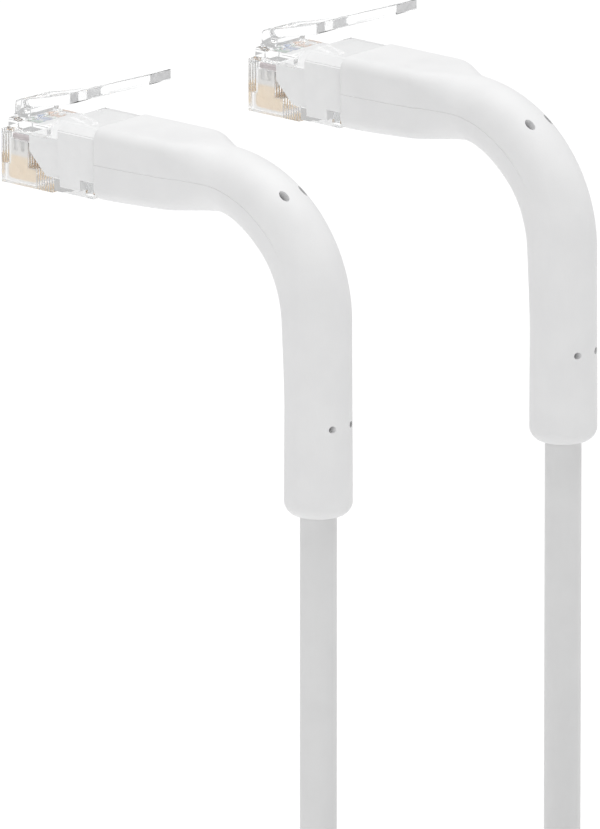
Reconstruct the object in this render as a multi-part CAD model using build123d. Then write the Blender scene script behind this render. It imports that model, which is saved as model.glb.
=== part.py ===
from build123d import *
from math import cos, pi, radians, sin, sqrt, tan
import os

# Ethernet patch cable: two clear 8P8C plugs, each with a soft white boot bent through 90 degrees,
# on one round cable whose spare length is wound in a tied coil.
#
# Millimetres, +Z up, +X from the plugs' noses towards the cable, latch side up.
# The origin is the centre of plug A's nose face. Plug B is plug A moved END_SPACING along +Y.
# Heights named in this file are measured from the plugs' underside.

UNDERSIDE = -3.7           # Z of the plugs' underside, so that the nose face's centre is at Z 0
END_SPACING = 51.4         # from plug A to plug B along Y

# Plug housing
PLUG_WIDTH = 11.68
NOSE_HEIGHT = 7.45         # outer shoulders of the nose
RIDGE_HEIGHT = 8.7         # raised middle of the nose, under the latch
RIDGE_WIDTH = 8.3
REAR_HEIGHT = 10.2         # body behind the latch root
REAR_SIDE_HEIGHT = 8.95    # where its bevelled upper corners start
REAR_TOP_WIDTH = 8.8
REAR_START = 8.6           # foot of the ramp from ridge to rear body
REAR_RAMP = 1.6
SKIRT_X = 17.2             # the boot covers everything behind this plane
PLUG_LENGTH = 21.46
TONGUE_WIDTH = 10.4        # part of the housing that stands inside the boot
TONGUE_LOW = 1.3
TONGUE_HIGH = 9.2
REAR_LOW = 0.35

# Contacts and conductors
PIN_COUNT = 8
PIN_PITCH = 1.016
BLADE_THICKNESS = 0.3
SLOT_WIDTH = 0.34
WIRE_DIAMETER = 0.92
WIRE_HEIGHT = 6.5          # conductors over the contacts
WIRE_START = 1.4
GUIDE_WIDTH = 8.4

# Latch
KNUCKLE_X = 1.7            # axis about which the latch flexes
KNUCKLE_HEIGHT = 9.75
KNUCKLE_RADIUS = 1.33
KNUCKLE_GAP = 0.06
SADDLE_HEIGHT = 9.05
SADDLE_LENGTH = 3.4
LATCH_WIDTH = 6.1
LATCH_THICKNESS = 1.35
SHOULDER_X = 10.37         # rear faces of the latch shoulders
PLATE_SLOPE = 16.2         # degrees, from knuckle to shoulders
LEVER_SLOPE = 19.4         # degrees, from shoulders to tip
TIP_X = 24.3
LEVER_WIDTH = 2.5          # at the shoulders
TIP_WIDTH = 4.4

# Cable and boot
CABLE_DIAMETER = 5.1
JACKET_BORE = 4.3
JACKET_START = 16.9        # where the jacket is stripped back to, inside the plug
PAIR_DIAMETER = 1.6
PAIR_OFFSET = 0.85
BOOT_AXIS_HEIGHT = 5.45
BOOT_DIAMETER = 9.3
BOOT_WIDTH = 12.2
BOOT_LOW = 0.4
BOOT_HIGH = 10.5
BOOT_CORNER = 1.9
BOOT_SQUARE_END = 30.3     # end of the rectangular stretch
BEND_RADIUS = 17.2
BEND_STEPS = 3
CABLE_X = 53.1             # axis of the hanging stretch
BOOT_END_HEIGHT = -39.1
LIP_RADIUS = 1.7
GRIP_LENGTH = 6.0          # end of the boot that holds the jacket tightly
BORE_CLEARANCE = 0.3       # elsewhere round the jacket, so that the bent stretch can flex
SHAPE_WIRE_DIAMETER = 0.9
SHAPE_WIRE_Y = 1.9
SHAPE_WIRE_RISE = 3.1      # towards the outside of the bend
SHAPE_WIRE_CLEARANCE = 0.3
SHAPE_WIRE_START = 25.0
SHAPE_WIRE_END_HEIGHT = -35.0
PIN_HOLE_DIAMETER = 1.0
PIN_HOLE_LENGTH = 3.0
PIN_HOLE_REACH = 4.5       # from the boot's line to the middle of a hole
LOWER_PIN_HOLE_HEIGHT = -26.0
UPPER_PIN_HOLE_ANGLE = 36.3

# Free cable, coil and tie
FLOOR_HEIGHT = -133.0
TIE_THICKNESS = 1.0
TIE_WIDTH = 14.0
COIL_GROOVE_CLEARANCE = 0.1
COIL_CENTRE_X = 89.0
COIL_INNER_TURN = 25.55    # radius of the inner turns' centreline
COIL_TURNS = 3.5

BEND_START_X = CABLE_X - BEND_RADIUS
BEND_CENTRE_HEIGHT = BOOT_AXIS_HEIGHT - BEND_RADIUS
BEND_STEP = 90.0 / BEND_STEPS
COIL_OUTER_TURN = COIL_INNER_TURN + CABLE_DIAMETER
COIL_CENTRE_Y = END_SPACING / 2
COIL_LOW = FLOOR_HEIGHT + TIE_THICKNESS
LOWER_LAYER = COIL_LOW + CABLE_DIAMETER / 2
UPPER_LAYER = LOWER_LAYER + CABLE_DIAMETER
FREE_START = BOOT_END_HEIGHT + 1.2

# Corners of the free cable's route (x, y, height): the drop from each boot and its turn onto the coil
ROUTE_A = [
    (CABLE_X, 0.0, FREE_START),
    (CABLE_X, 0.0, -108.9),
    (60.6, -1.5, -122.0),
    (73.6, -4.1, LOWER_LAYER),
    (COIL_CENTRE_X, COIL_CENTRE_Y - COIL_OUTER_TURN, LOWER_LAYER),
]
ROUTE_B = [
    (CABLE_X, END_SPACING, FREE_START),
    (CABLE_X, END_SPACING, -104.2),
    (60.8, END_SPACING + 1.6, -117.3),
    (73.8, END_SPACING + 4.1, UPPER_LAYER),
    (COIL_CENTRE_X, COIL_CENTRE_Y + COIL_OUTER_TURN, UPPER_LAYER),
]


def level(height):
    """Z of a height above the plugs' underside."""
    return height + UNDERSIDE


def block(x, y, height):
    """A box from three (low, high) pairs."""
    size = [high - low for low, high in (x, y, height)]
    middle = [(low + high) / 2 for low, high in (x, y, height)]
    return Pos(middle[0], middle[1], level(middle[2])) * Box(*size)


def slab(outline, width, y=0.0):
    """A side view in (x, height), given a width along Y about y."""
    corners = [(x, level(height)) for x, height in outline]
    face = Plane.XZ * Polygon(*corners, align=None)
    return Pos(0, y, 0) * extrude(face, amount=width / 2, both=True)


def prism(outline, start, end):
    """An end view in (y, height), run along X from start to end."""
    corners = [(y, level(height)) for y, height in outline]
    face = Plane.YZ.offset(start) * Polygon(*corners, align=None)
    return extrude(face, amount=end - start)


def cross_pin(x, height, radius, width):
    """A cylinder along Y."""
    return Pos(x, 0, level(height)) * Rot(90, 0, 0) * Cylinder(radius, width)


def pin_places():
    """Y of each contact, from pin 1 on the far side to pin 8 on the near side."""
    half = (PIN_COUNT - 1) / 2
    return [(half - index) * PIN_PITCH for index in range(PIN_COUNT)]


def rear_outline(inset=0.0):
    """End view of the housing's rear body, with its bevelled upper corners."""
    half = PLUG_WIDTH / 2 - inset
    half_top = REAR_TOP_WIDTH / 2 - inset * 0.6
    return [
        (-half, REAR_LOW + inset),
        (half, REAR_LOW + inset),
        (half, REAR_SIDE_HEIGHT - inset * 0.4),
        (half_top, REAR_HEIGHT - inset),
        (-half_top, REAR_HEIGHT - inset),
        (-half, REAR_SIDE_HEIGHT - inset * 0.4),
    ]


# ---------------------------------------------------------------- plug

WALL = 0.62
MOULD_START = REAR_START + 1.7
GUIDE_OUTLINE = [(4.6, 5.0), (7.7, 1.9), (MOULD_START, 1.9), (MOULD_START, 7.4), (4.6, 7.4)]
STRAIN_WINDOW = (14.7, 16.9)


def inner_mould_envelope():
    """Outer shape of the white moulding that fills the back of the housing."""
    half = PLUG_WIDTH / 2 - WALL
    upper = prism(rear_outline(WALL), MOULD_START, SKIRT_X - 0.3)
    upper -= block((MOULD_START - 1, SKIRT_X), (-half - 1, half + 1), (-1, 2.5))
    foot = block((MOULD_START + 0.4, 14.4), (-half, half), (0.95, 2.5))
    tongue = block((SKIRT_X - 0.3, PLUG_LENGTH), (-4.5, 4.5), (TONGUE_LOW + 0.7, TONGUE_HIGH - 0.7))
    return upper + foot + tongue


def contact_slot(y):
    """Slot for one blade, open underneath and at the nose, with room for the tines above."""
    low = block((-0.5, 5.7), (y - SLOT_WIDTH / 2, y + SLOT_WIDTH / 2), (-0.5, 2.4))
    middle = block((0.7, 4.2), (y - SLOT_WIDTH / 2, y + SLOT_WIDTH / 2), (2.3, 6.2))
    return low + middle


def housing():
    half = PLUG_WIDTH / 2
    nose = block((0, REAR_START + 1), (-half, half), (0, NOSE_HEIGHT))
    nose = fillet(nose.edges().filter_by(Axis.Z).group_by(Axis.X)[0], 0.35)
    ridge_half = RIDGE_WIDTH / 2
    ridge = block((0, REAR_START + 1), (-ridge_half, ridge_half), (1, RIDGE_HEIGHT))
    rear = prism(rear_outline(), REAR_START, SKIRT_X)
    ramp = [
        (REAR_START - 1, RIDGE_HEIGHT),
        (REAR_START, RIDGE_HEIGHT),
        (REAR_START + REAR_RAMP, REAR_HEIGHT),
        (REAR_START + REAR_RAMP, REAR_HEIGHT + 1),
        (REAR_START - 1, REAR_HEIGHT + 1),
    ]
    rear -= slab(ramp, PLUG_WIDTH + 2)
    tongue = block(
        (SKIRT_X, PLUG_LENGTH), (-TONGUE_WIDTH / 2, TONGUE_WIDTH / 2), (TONGUE_LOW, TONGUE_HIGH)
    )
    saddle = block((0, SADDLE_LENGTH), (-LATCH_WIDTH / 2, LATCH_WIDTH / 2), (5, SADDLE_HEIGHT))
    shell = nose + ridge + rear + tongue + saddle
    # chamfer under the nose
    shell -= slab([(-1, -1), (0.9, -1), (-1, 0.9)], PLUG_WIDTH + 2)
    shell -= cross_pin(KNUCKLE_X, KNUCKLE_HEIGHT, KNUCKLE_RADIUS + KNUCKLE_GAP, LATCH_WIDTH + 2)
    shell -= slab(GUIDE_OUTLINE, GUIDE_WIDTH)
    channel_half = GUIDE_WIDTH / 2 - 0.1
    shell -= block((WIRE_START - 0.1, 4.7), (-channel_half, channel_half),
                   (WIRE_HEIGHT - WIRE_DIAMETER / 2, WIRE_HEIGHT + WIRE_DIAMETER / 2 + 0.08))
    for y in pin_places():
        shell -= contact_slot(y)
    shell -= inner_mould_envelope()
    shell -= block(STRAIN_WINDOW, (-3.6, 3.6), (-1, 2.5))
    return shell


def latch():
    """Wide plate with two shoulders, and the thumb lever behind them."""
    slope = radians(PLATE_SLOPE)
    reach = SHOULDER_X - KNUCKLE_X
    top_start = KNUCKLE_HEIGHT + KNUCKLE_RADIUS / cos(slope)
    shoulder_top = top_start + reach * tan(slope)
    depth = LATCH_THICKNESS / cos(slope)
    plate = slab(
        [
            (KNUCKLE_X, top_start),
            (SHOULDER_X, shoulder_top),
            (SHOULDER_X, shoulder_top - depth),
            (KNUCKLE_X, top_start - depth),
        ],
        LATCH_WIDTH,
    )
    knuckle = cross_pin(KNUCKLE_X, KNUCKLE_HEIGHT, KNUCKLE_RADIUS, LATCH_WIDTH)
    run = TIP_X - SHOULDER_X
    rise = run * tan(radians(LEVER_SLOPE))
    lever_depth = LATCH_THICKNESS / cos(radians(LEVER_SLOPE))
    start = SHOULDER_X - 0.8
    start_top = shoulder_top - 0.8 * tan(slope)
    side = slab(
        [
            (start, start_top),
            (SHOULDER_X, shoulder_top),
            (TIP_X, shoulder_top + rise),
            (TIP_X, shoulder_top + rise - lever_depth),
            (SHOULDER_X, shoulder_top - lever_depth),
            (start, start_top - lever_depth),
        ],
        LATCH_WIDTH,
    )
    plan = Polygon(
        (start, -LEVER_WIDTH / 2),
        (TIP_X + 1, -TIP_WIDTH / 2),
        (TIP_X + 1, TIP_WIDTH / 2),
        (start, LEVER_WIDTH / 2),
        align=None,
    )
    lever = side & extrude(plan, amount=40)
    return plate + knuckle + lever


def contacts():
    """Eight gold blades, each with three tines that pierce its conductor."""
    outline = [
        (0.95, 0.45), (5.3, 0.45), (5.45, 0.75), (5.45, 2.2), (4.0, 2.2), (4.0, 5.6),
        (3.75, 6.25), (3.5, 5.6), (3.5, 4.5), (2.8, 4.5), (2.8, 5.6), (2.5, 6.25), (2.2, 5.6),
        (2.2, 4.5), (1.5, 4.5), (1.5, 5.6), (1.25, 6.25), (1.0, 5.6), (1.0, 2.6), (0.6, 2.2),
        (0.6, 0.8),
    ]
    return Compound([slab(outline, BLADE_THICKNESS, y) for y in pin_places()])


def conductors():
    """Eight insulated conductors, side by side over the contacts and in two rows behind them."""
    wires = []
    row_step = 1.02
    narrow_pitch = 0.97
    for index, y in enumerate(pin_places()):
        upper = index % 2 == 1
        row = BOOT_AXIS_HEIGHT + (row_step / 2 if upper else -row_step / 2)
        gathered = (1.5 - index // 2) * narrow_pitch
        route = FilletPolyline(
            (WIRE_START, y, level(WIRE_HEIGHT)),
            (MOULD_START + 0.1, y, level(WIRE_HEIGHT)),
            (MOULD_START + 2.2, y, level(row)),
            (JACKET_START - 1.6, gathered, level(row)),
            (JACKET_START, gathered, level(row)),
            radius=0.9,
        )
        start = Plane(origin=route @ 0, z_dir=route % 0)
        wires.append(sweep(start * Circle(WIRE_DIAMETER / 2), path=route))
    return Compound(wires)


def wire_guide():
    """White load bar that holds the eight conductors in line."""
    guide = slab(GUIDE_OUTLINE, GUIDE_WIDTH)
    for y in pin_places():
        hole = Rot(0, 90, 0) * Cylinder(WIRE_DIAMETER / 2, 12)
        guide -= Pos(8, y, level(WIRE_HEIGHT)) * hole
    return guide


def inner_mould():
    """White moulding between the housing and the cable, hollow where the conductors fan out."""
    body = inner_mould_envelope()
    body -= block((MOULD_START - 1, JACKET_START), (-4.15, 4.15), (3.4, 7.3))
    axis = Pos(20, 0, level(BOOT_AXIS_HEIGHT)) * Rot(0, 90, 0)
    return body - axis * Cylinder(CABLE_DIAMETER / 2, 8)


def strain_bar():
    """Wedge pressed up through the housing's lower window onto the moulding."""
    return slab([(15.0, 0.6), (16.6, 0.6), (16.9, 2.5), (14.9, 2.5)], 7.0)


# ---------------------------------------------------------------- boot

def boot_path(start_x, end_height, rise=0.0):
    """Line of the bent boot, from start_x to end_height; rise moves it outwards."""
    return FilletPolyline(
        (start_x, 0, level(BOOT_AXIS_HEIGHT + rise)),
        (CABLE_X + rise, 0, level(BOOT_AXIS_HEIGHT + rise)),
        (CABLE_X + rise, 0, level(end_height)),
        radius=BEND_RADIUS + rise,
    )


def along_boot(radius, start_x, end_height, rise=0.0, y=0.0):
    """A round bar of the given radius along the boot's line."""
    path = boot_path(start_x, end_height, rise)
    start = Plane(origin=path @ 0, z_dir=path % 0)
    return Pos(0, y, 0) * sweep(start * Circle(radius), path=path)


def shape_wires(room=0.0):
    """Two annealed wires near the outside of the bend, or with room, the channels they lie in."""
    radius = SHAPE_WIRE_DIAMETER / 2 + room
    start_x = SHAPE_WIRE_START - room
    end_height = SHAPE_WIRE_END_HEIGHT - room
    return [
        along_boot(radius, start_x, end_height, SHAPE_WIRE_RISE, side * SHAPE_WIRE_Y)
        for side in (-1, 1)
    ]


def boot_hollow():
    """Everything that is left open inside the boot: its cable bore and the wires' channels."""
    grip_start = BOOT_END_HEIGHT + GRIP_LENGTH
    bore = along_boot(CABLE_DIAMETER / 2 + BORE_CLEARANCE, PLUG_LENGTH - 0.5, grip_start)
    grip = Pos(CABLE_X, 0, level(grip_start - 5)) * Cylinder(CABLE_DIAMETER / 2, 12)
    channels = shape_wires(SHAPE_WIRE_CLEARANCE)
    tongue = block(
        (SKIRT_X - 1, PLUG_LENGTH), (-TONGUE_WIDTH / 2, TONGUE_WIDTH / 2), (TONGUE_LOW, TONGUE_HIGH)
    )
    return [bore, grip, tongue] + channels


def pin_holes():
    """Two pairs of holes left by the pins that held the shape wires in the mould."""
    holes = []
    for side in (-1, 1):
        lower = Pos(CABLE_X + PIN_HOLE_REACH, side * SHAPE_WIRE_Y, level(LOWER_PIN_HOLE_HEIGHT))
        holes.append(lower * Rot(0, 90, 0) * Cylinder(PIN_HOLE_DIAMETER / 2, PIN_HOLE_LENGTH))
        angle = UPPER_PIN_HOLE_ANGLE
        reach = BEND_RADIUS + PIN_HOLE_REACH
        upper = Pos(
            BEND_START_X + reach * sin(radians(angle)),
            side * SHAPE_WIRE_Y,
            level(BEND_CENTRE_HEIGHT + reach * cos(radians(angle))),
        )
        holes.append(upper * Rot(0, angle, 0) * Cylinder(PIN_HOLE_DIAMETER / 2, PIN_HOLE_LENGTH))
    return holes


def boot_section(x, width, height, corner):
    """End view of the boot's front, as a face across X."""
    centre = (BOOT_LOW + BOOT_HIGH) / 2
    plane = Plane(origin=(x, 0, level(centre)), x_dir=(0, 1, 0), z_dir=(1, 0, 0))
    return plane * RectangleRounded(width, height, corner)


def boot_front_skin():
    """Rectangular skirt round the plug that turns into the round stretch."""
    height = BOOT_HIGH - BOOT_LOW
    skirt = loft([
        boot_section(SKIRT_X, BOOT_WIDTH, height, BOOT_CORNER),
        boot_section(BOOT_SQUARE_END, BOOT_WIDTH - 0.2, height - 0.1, BOOT_CORNER + 0.2),
    ])
    round_corner = BOOT_DIAMETER / 2 - 0.01
    neck = loft([
        boot_section(BOOT_SQUARE_END, BOOT_WIDTH - 0.2, height - 0.1, BOOT_CORNER + 0.2),
        boot_section((BOOT_SQUARE_END + BEND_START_X) / 2, 10.9, 9.75, 3.4),
        boot_section(BEND_START_X, BOOT_DIAMETER, BOOT_DIAMETER, round_corner),
    ])
    return skirt + neck


def bend_wedge(first, last):
    """Wedge of space between two angles of the bend, counted from its plug end."""
    reach = 60.0
    fan = [(BEND_START_X, level(BEND_CENTRE_HEIGHT))]
    for angle in (first, (first + last) / 2, last):
        fan.append((
            BEND_START_X + reach * sin(radians(angle)),
            level(BEND_CENTRE_HEIGHT) + reach * cos(radians(angle)),
        ))
    face = Plane.XZ * Polygon(*fan, align=None)
    return extrude(face, amount=20, both=True)


def boot_bend_skin():
    """The round bent stretch of the boot, before it is parted."""
    turn = Plane.XZ * CenterArc(
        (BEND_START_X, level(BEND_CENTRE_HEIGHT)), BEND_RADIUS, 0, 90
    )
    start = Plane(origin=turn @ 0, z_dir=turn % 0)
    return sweep(start * Circle(BOOT_DIAMETER / 2), path=turn)


def boot_rear_skin():
    """Straight round stretch down to the rounded lip."""
    top = BEND_CENTRE_HEIGHT
    length = top - BOOT_END_HEIGHT
    tube = Pos(CABLE_X, 0, level(top - length / 2)) * Cylinder(BOOT_DIAMETER / 2, length)
    return fillet(tube.edges().sort_by(Axis.Z)[0], LIP_RADIUS)


def boot_pieces():
    """The boot's front, its three parts of the bend from the cable end, and its rear."""
    hollow = boot_hollow()
    holes = pin_holes()
    bend = boot_bend_skin()
    pieces = {"front": boot_front_skin(), "rear": boot_rear_skin()}
    for index in range(BEND_STEPS):
        first = 90.0 - (index + 1) * BEND_STEP
        pieces[f"bend_{index + 1}"] = bend & bend_wedge(first, first + BEND_STEP)
    for name, piece in pieces.items():
        for cutter in hollow + holes:
            piece = piece - cutter
        pieces[name] = piece
    return pieces


def boot_cable():
    """The jacket from inside the plug, through the boot, to where the cable comes free."""
    outer = along_boot(CABLE_DIAMETER / 2, JACKET_START, FREE_START)
    inner = along_boot(JACKET_BORE / 2, JACKET_START, FREE_START)
    return outer - inner


def wire_pairs():
    """The four twisted pairs inside that jacket, each as one round bundle."""
    pairs = []
    for side in (-1, 1):
        for rise in (-PAIR_OFFSET, PAIR_OFFSET):
            pairs.append(along_boot(PAIR_DIAMETER / 2, JACKET_START, FREE_START, rise,
                                    side * PAIR_OFFSET))
    return Compound(pairs)


# ---------------------------------------------------------------- free cable, coil and tie

def corner_radii(route):
    """The largest arc that each corner of a route allows."""
    points = [Vector(*point) for point in route]
    radii = []
    for before, corner, after in zip(points, points[1:], points[2:]):
        arriving = corner - before
        leaving = after - corner
        half_turn = radians(arriving.get_angle(leaving)) / 2
        radii.append(0.45 * min(arriving.length, leaving.length) / tan(half_turn))
    return radii


def route_path(route):
    """The line of one free stretch, its corners rounded as far as their runs allow."""
    points = [(x, y, level(height)) for x, y, height in route]
    radii = corner_radii(points)
    print(f"route radii {[round(radius, 1) for radius in radii]}")
    return FilletPolyline(*points, radius=radii)


def tube_along(path, radius):
    """A round bar along a path."""
    start = Plane(origin=path @ 0, z_dir=path % 0)
    return sweep(start * Circle(radius), path=path)


def free_cable(path):
    """A tube along one free stretch, from the boot's lip to the coil."""
    tube = tube_along(path, CABLE_DIAMETER / 2)
    expected = pi * (CABLE_DIAMETER / 2) ** 2 * path.length
    print(f"length {path.length:.1f}, volume over section times length {tube.volume / expected:.4f}")
    return tube


def coil(paths):
    """Outer shape of the wound turns, two side by side and two high, grooved where the ends come in."""
    ring_section = Plane.XZ * Pos(
        (COIL_INNER_TURN + COIL_OUTER_TURN) / 2, level((LOWER_LAYER + UPPER_LAYER) / 2)
    ) * RectangleRounded(2 * CABLE_DIAMETER, 2 * CABLE_DIAMETER, CABLE_DIAMETER / 2 - 0.05)
    ring = Pos(COIL_CENTRE_X, COIL_CENTRE_Y, 0) * revolve(ring_section, Axis.Z)
    for path in paths:
        ring -= tube_along(path, CABLE_DIAMETER / 2 + COIL_GROOVE_CLEARANCE)
    return ring


def coil_tie():
    """Hook-and-loop strap round the coil's turns, with its overlapping end on top."""
    radius = (COIL_INNER_TURN + COIL_OUTER_TURN) / 2
    side = 2 * CABLE_DIAMETER
    plane = Plane(
        origin=(COIL_CENTRE_X + radius, COIL_CENTRE_Y, level((LOWER_LAYER + UPPER_LAYER) / 2)),
        x_dir=(1, 0, 0),
        z_dir=(0, -1, 0),
    )
    bow = radius - sqrt(radius ** 2 - (TIE_WIDTH / 2) ** 2)
    outer = plane * Pos(-bow / 2, 0) * RectangleRounded(
        side + bow + 2 * TIE_THICKNESS, side + 2 * TIE_THICKNESS, CABLE_DIAMETER / 2 + TIE_THICKNESS)
    band = extrude(outer, amount=TIE_WIDTH / 2, both=True)
    flap_top = UPPER_LAYER + CABLE_DIAMETER / 2 + 2 * TIE_THICKNESS
    middle = COIL_CENTRE_X + radius - bow / 2
    flap = block(
        (middle - 2.4, middle + 2.6),
        (COIL_CENTRE_Y - TIE_WIDTH / 2, COIL_CENTRE_Y + TIE_WIDTH / 2),
        (flap_top - TIE_THICKNESS, flap_top),
    )
    return band + flap


def end_pieces():
    """Every piece of one end, by the node name that follows plug_a_ or boot_a_."""
    pieces = {
        "plug_{}_housing": housing(),
        "plug_{}_latch": latch(),
        "plug_{}_contacts": contacts(),
        "plug_{}_conductors": conductors(),
        "plug_{}_wire_guide": wire_guide(),
        "plug_{}_inner_mould": inner_mould(),
        "plug_{}_strain_bar": strain_bar(),
        "boot_{}_cable": boot_cable(),
        "boot_{}_wire_pairs": wire_pairs(),
        "boot_{}_shape_wires": Compound(shape_wires()),
    }
    for name, piece in boot_pieces().items():
        pieces["boot_{}_" + name] = piece
    return pieces


os.makedirs("parts", exist_ok=True)

for pattern, piece in end_pieces().items():
    for letter, y in (("a", 0.0), ("b", END_SPACING)):
        export_step(Pos(0, y, 0) * piece, "parts/" + pattern.format(letter) + ".step")

path_a = route_path(ROUTE_A)
path_b = route_path(ROUTE_B)
ring = coil([path_a, path_b])
export_step(free_cable(path_a), "parts/cable_a.step")
export_step(free_cable(path_b), "parts/cable_b.step")
export_step(ring, "parts/cable_coil.step")
export_step(coil_tie() - ring, "parts/coil_tie.step")

coiled = COIL_TURNS * pi * (COIL_INNER_TURN + COIL_OUTER_TURN)
inside = boot_path(JACKET_START, FREE_START).length + JACKET_START
free = coiled + path_a.length + path_b.length
print(f"coil {coiled:.0f}, free cable {free:.0f}, nose to nose {free + 2 * inside:.0f}")
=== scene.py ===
import bmesh
import bpy
import math
import numpy as np
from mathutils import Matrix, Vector


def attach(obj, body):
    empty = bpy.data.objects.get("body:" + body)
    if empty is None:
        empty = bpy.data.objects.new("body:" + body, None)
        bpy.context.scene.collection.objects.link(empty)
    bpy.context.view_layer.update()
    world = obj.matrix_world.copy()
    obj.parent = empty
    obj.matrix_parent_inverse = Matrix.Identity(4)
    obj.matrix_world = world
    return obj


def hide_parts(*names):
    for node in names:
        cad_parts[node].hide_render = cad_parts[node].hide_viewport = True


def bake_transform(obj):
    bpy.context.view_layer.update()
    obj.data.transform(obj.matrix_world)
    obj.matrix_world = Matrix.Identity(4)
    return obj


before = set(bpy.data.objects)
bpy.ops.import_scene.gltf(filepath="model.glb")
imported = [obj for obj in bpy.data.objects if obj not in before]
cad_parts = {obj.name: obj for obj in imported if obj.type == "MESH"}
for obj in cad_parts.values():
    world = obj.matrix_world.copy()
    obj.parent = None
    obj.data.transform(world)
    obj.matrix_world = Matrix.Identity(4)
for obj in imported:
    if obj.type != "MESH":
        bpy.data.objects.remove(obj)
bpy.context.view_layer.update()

MM = 0.001

# ---------------------------------------------------------------- places, in millimetres

ENDS = {"a": 0.0, "b": 51.4}        # Y of each end's middle plane
UNDERSIDE = -3.7                    # Z of the plugs' underside
BOOT_AXIS = UNDERSIDE + 5.45        # Z of the boot's straight front axis
BEND_RADIUS = 17.2
CABLE_X = 53.1
BEND_START = CABLE_X - BEND_RADIUS
BEND_CENTRE = BOOT_AXIS - BEND_RADIUS
BEND_STEPS = 3
BEND_STEP = 90.0 / BEND_STEPS
SKIRT_X = 17.2
CABLE_DIAMETER = 5.1
LIP_Z = UNDERSIDE - 39.1
FREE_START_Z = LIP_Z + 1.2
FLOOR_Z = UNDERSIDE - 133.0


def metres(point):
    return [value * MM for value in point]


# ---------------------------------------------------------------- camera

VIEW_AZIMUTH = math.radians(41.27)
VIEW_ELEVATION = math.radians(15.29)
LENS = 1100.0
SENSOR = 36.0
FRAME_HEIGHT = 114.62              # millimetres of the object's middle plane that the frame takes in
LOOK_AT = (27.19, 25.7, -38.62)


def make_camera():
    """A long lens, almost without perspective, from behind and to the near side of the plugs."""
    back = Vector((
        math.sin(VIEW_AZIMUTH) * math.cos(VIEW_ELEVATION),
        -math.cos(VIEW_AZIMUTH) * math.cos(VIEW_ELEVATION),
        math.sin(VIEW_ELEVATION),
    ))
    data = bpy.data.cameras.new("camera")
    data.lens = LENS
    data.sensor_width = SENSOR
    distance = FRAME_HEIGHT * MM * LENS / SENSOR
    data.clip_start = distance * 0.01
    data.clip_end = distance * 5
    camera = bpy.data.objects.new("camera", data)
    bpy.context.scene.collection.objects.link(camera)
    camera.location = Vector(metres(LOOK_AT)) + back * distance
    camera.rotation_mode = "QUATERNION"
    camera.rotation_quaternion = (-back).to_track_quat("-Z", "Y")
    bpy.context.scene.camera = camera


make_camera()


# ---------------------------------------------------------------- free cable

COIL_CENTRE = (89.0, 25.7)
COIL_INNER_TURN = 25.55
COIL_OUTER_TURN = COIL_INNER_TURN + CABLE_DIAMETER
COIL_BOTTOM_Z = FLOOR_Z + 1.0
LOWER_LAYER_Z = COIL_BOTTOM_Z + CABLE_DIAMETER / 2
UPPER_LAYER_Z = LOWER_LAYER_Z + CABLE_DIAMETER
POINTS_PER_TURN = 24

DROP_A = [
    (CABLE_X, 0.0, FREE_START_Z),
    (CABLE_X, 0.0, UNDERSIDE - 94.0),
    (CABLE_X, 0.0, UNDERSIDE - 108.9),
    (60.6, -1.5, UNDERSIDE - 122.0),
    (73.6, -4.1, LOWER_LAYER_Z),
]
DROP_B = [
    (CABLE_X, 51.4, FREE_START_Z),
    (CABLE_X, 51.4, UNDERSIDE - 92.5),
    (CABLE_X, 51.4, UNDERSIDE - 104.2),
    (60.8, 53.0, UNDERSIDE - 117.3),
    (73.8, 55.5, UPPER_LAYER_Z),
]


def ramp(value, start, end):
    """0 before start, 1 after end, easing between them."""
    t = min(max((value - start) / (end - start), 0.0), 1.0)
    return t * t * (3 - 2 * t)


def coil_points():
    """Control points of the turns: out to in on the floor, up, and in to out on top."""
    points = []
    count = int(3.5 * POINTS_PER_TURN)
    spread = 1 / math.cos(math.pi / POINTS_PER_TURN)     # the spline runs inside its points
    for step in range(count + 1):
        turn = step / POINTS_PER_TURN
        angle = math.radians(-90) + turn * 2 * math.pi
        inward = ramp(turn, 0.8, 1.05)
        outward = ramp(turn, 2.75, 3.0)
        radius = COIL_OUTER_TURN + (COIL_INNER_TURN - COIL_OUTER_TURN) * (inward - outward)
        height = LOWER_LAYER_Z + (UPPER_LAYER_Z - LOWER_LAYER_Z) * ramp(turn, 1.8, 2.05)
        points.append((
            COIL_CENTRE[0] + radius * spread * math.cos(angle),
            COIL_CENTRE[1] + radius * spread * math.sin(angle),
            height,
        ))
    return points


def make_free_cable():
    """The one cable from boot A's lip, down, round the coil and up to boot B's lip."""
    points = DROP_A + coil_points() + DROP_B[::-1]
    data = bpy.data.curves.new("free_cable", "CURVE")
    data.dimensions = "3D"
    spline = data.splines.new("NURBS")
    spline.points.add(len(points) - 1)
    for target, point in zip(spline.points, points):
        target.co = (*metres(point), 1.0)
        target.radius = CABLE_DIAMETER / 2 * MM
    spline.order_u = 3
    spline.use_endpoint_u = True
    spline.resolution_u = 10
    data.bevel_depth = 1.0            # times each point's radius
    data.bevel_resolution = 8
    data.use_fill_caps = True
    cable = bpy.data.objects.new("free_cable", data)
    bpy.context.scene.collection.objects.link(cable)
    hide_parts("cable_a", "cable_b", "cable_coil")
    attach(cable, "cable")
    return cable


free_cable = make_free_cable()


# ---------------------------------------------------------------- materials

def new_material(name):
    material = bpy.data.materials.new(name)
    material.use_nodes = True
    shader = material.node_tree.nodes["Principled BSDF"]
    return material, material.node_tree, shader


def add(tree, kind, **inputs):
    node = tree.nodes.new(kind)
    for socket, value in inputs.items():
        node.inputs[socket].default_value = value
    return node


def object_position(tree):
    return tree.nodes.new("ShaderNodeTexCoord").outputs["Object"]


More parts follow.
